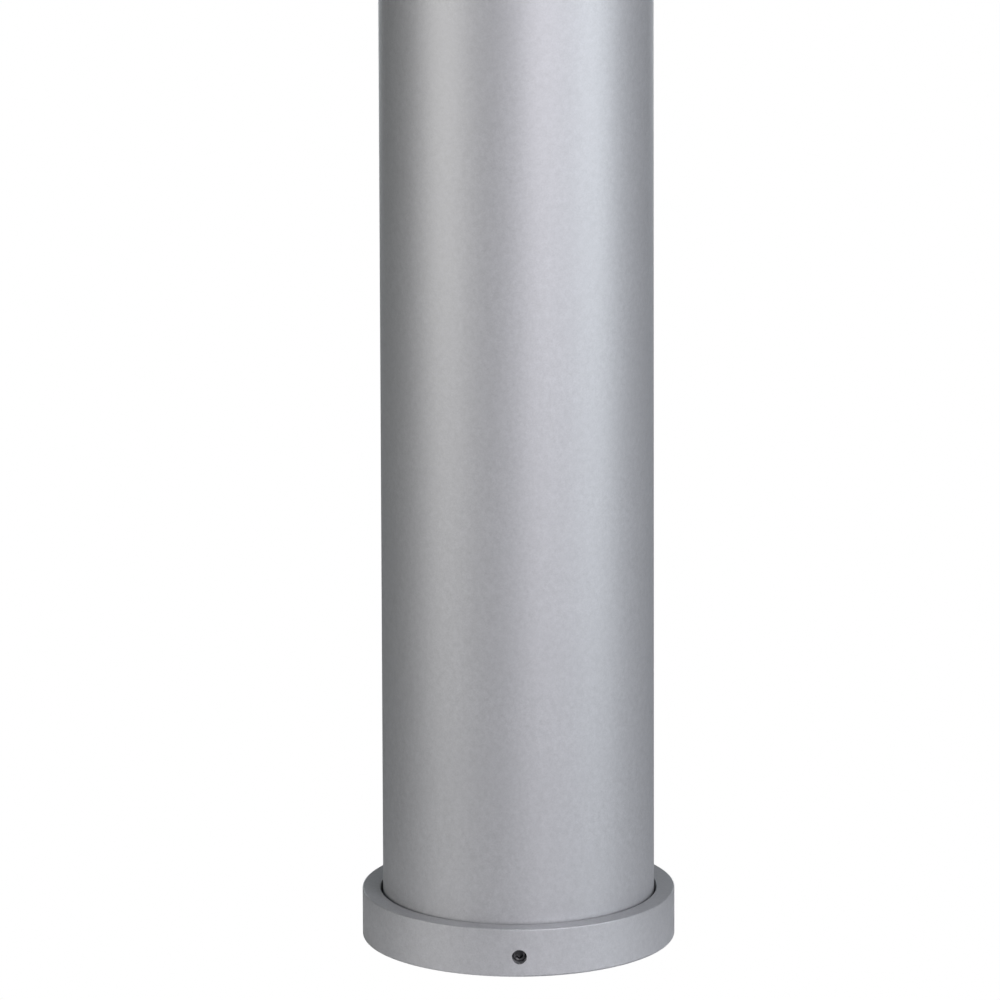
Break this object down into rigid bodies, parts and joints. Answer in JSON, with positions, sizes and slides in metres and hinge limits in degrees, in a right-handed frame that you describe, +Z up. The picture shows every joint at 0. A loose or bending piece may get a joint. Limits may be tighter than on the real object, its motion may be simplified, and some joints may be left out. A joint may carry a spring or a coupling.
{
  "type": "bollard light",
  "caption": "Round garden bollard light: a straight metal post clamped in a low base collar by set screws, with an opal lantern, lamp and gear tray that lift out of its top.",
  "frame": {"origin": "on the ground, at the centre of the base's round footprint", "axes": "+Z up along the post; the set screw that shows at the front of the collar is towards -Y; +X to the right seen from the front"},
  "size_m": [0.1266, 0.1266, 0.8],
  "materials": {
    "silver_coat": "satin silver powder coat with a fine metallic grain",
    "black_rubber": "matte moulded rubber",
    "stainless": "bright stainless fasteners",
    "dark_steel": "blackened alloy steel",
    "bare_aluminium": "mill finish",
    "galvanised_steel": "galvanised sheet with a faint spangle",
    "zinc_screws": "zinc-plated",
    "porcelain": "white glaze",
    "brass": "bright brass",
    "white_enamel": "white stove enamel",
    "grey_plastic": "light grey moulded",
    "white_plastic": "natural polyamide",
    "black_plastic": "black polyamide",
    "lead_sheath": "rubber sheath",
    "brown_sleeve": "brown insulation",
    "blue_sleeve": "blue insulation",
    "earth_sleeve": "green and yellow insulation",
    "nickel_cap": "nickel-plated",
    "black_glass": "black glass",
    "lamp_housing": "white moulded housing",
    "lamp_frost": "frosted white globe",
    "opal_plastic": "opal acrylic, satin outside",
    "spun_aluminium": "bright spun"
  },
  "bodies": {
    "base": {"base_flange": "silver_coat", "cable_grommet": "black_rubber", "base_earth_screw": "stainless"},
    "front_set_screw": {"set_screw_front": "dark_steel"},
    "right_set_screw": {"set_screw_right": "dark_steel"},
    "left_set_screw": {"set_screw_left": "dark_steel"},
    "post": {"post_tube": "silver_coat", "post_lugs": "bare_aluminium"},
    "gear": {"lamp_carrier": "silver_coat", "spigot_oring": "black_rubber", "carrier_screws": "stainless", "diffuser_seat_gasket": "black_rubber", "lampholder_bracket": "galvanised_steel", "bracket_screws": "zinc_screws", "lampholder": "porcelain", "lampholder_shell": "brass", "lampholder_contact": "brass", "lampholder_screws": "zinc_screws", "shade_ring": "porcelain", "reflector_plate": "white_enamel", "gear_tray": "galvanised_steel", "tray_bolts": "zinc_screws", "tray_nuts": "zinc_screws", "box_back": "grey_plastic", "box_side_walls": "grey_plastic", "box_end_walls": "grey_plastic", "box_pillars": "grey_plastic", "box_seal": "black_rubber", "box_fixing_screws": "zinc_screws", "terminal_block": "white_plastic", "terminal_inserts": "brass", "terminal_screws": "zinc_screws", "gland_bodies": "black_plastic", "gland_dome_nuts": "black_plastic", "gland_seals": "black_rubber", "gland_lock_nuts": "black_plastic", "lamp_lead": "lead_sheath", "lead_clip": "galvanised_steel", "core_live": "brown_sleeve", "core_neutral": "blue_sleeve", "core_earth": "earth_sleeve", "tray_earth_screw": "brass"},
    "box_cover": {"box_lid": "grey_plastic", "box_lid_screws": "stainless"},
    "lamp": {"lamp_cap": "nickel_cap", "lamp_insulator": "black_glass", "lamp_tip": "brass", "lamp_body": "lamp_housing", "lamp_globe": "lamp_frost"},
    "head": {"diffuser": "opal_plastic", "top_cap": "silver_coat", "diffuser_cap_gasket": "black_rubber", "top_reflector": "spun_aluminium", "tie_screws": "stainless", "tie_washers": "black_rubber"}
  },
  "joints": [
    {"name": "front_screw_out", "type": "slide", "parent": "base", "child": "front_set_screw", "axis": [0, -1, 0], "range_m": [0, 0.003]},
    {"name": "right_screw_out", "type": "slide", "parent": "base", "child": "right_set_screw", "axis": [0.866, 0.5, 0], "range_m": [0, 0.003]},
    {"name": "left_screw_out", "type": "slide", "parent": "base", "child": "left_set_screw", "axis": [-0.866, 0.5, 0], "range_m": [0, 0.003]},
    {"name": "post_lift", "type": "slide", "parent": "base", "child": "post", "axis": [0, 0, 1], "range_m": [0, 0.1]},
    {"name": "gear_lift", "type": "slide", "parent": "post", "child": "gear", "axis": [0, 0, 1], "range_m": [0, 0.3]},
    {"name": "box_cover_off", "type": "slide", "parent": "gear", "child": "box_cover", "axis": [0, -1, 0], "range_m": [0, 0.02]},
    {"name": "lamp_out", "type": "slide", "parent": "gear", "child": "lamp", "axis": [0, 0, 1], "range_m": [0, 0.018]},
    {"name": "head_lift", "type": "slide", "parent": "gear", "child": "head", "axis": [0, 0, 1], "range_m": [0, 0.15]}
  ]
}
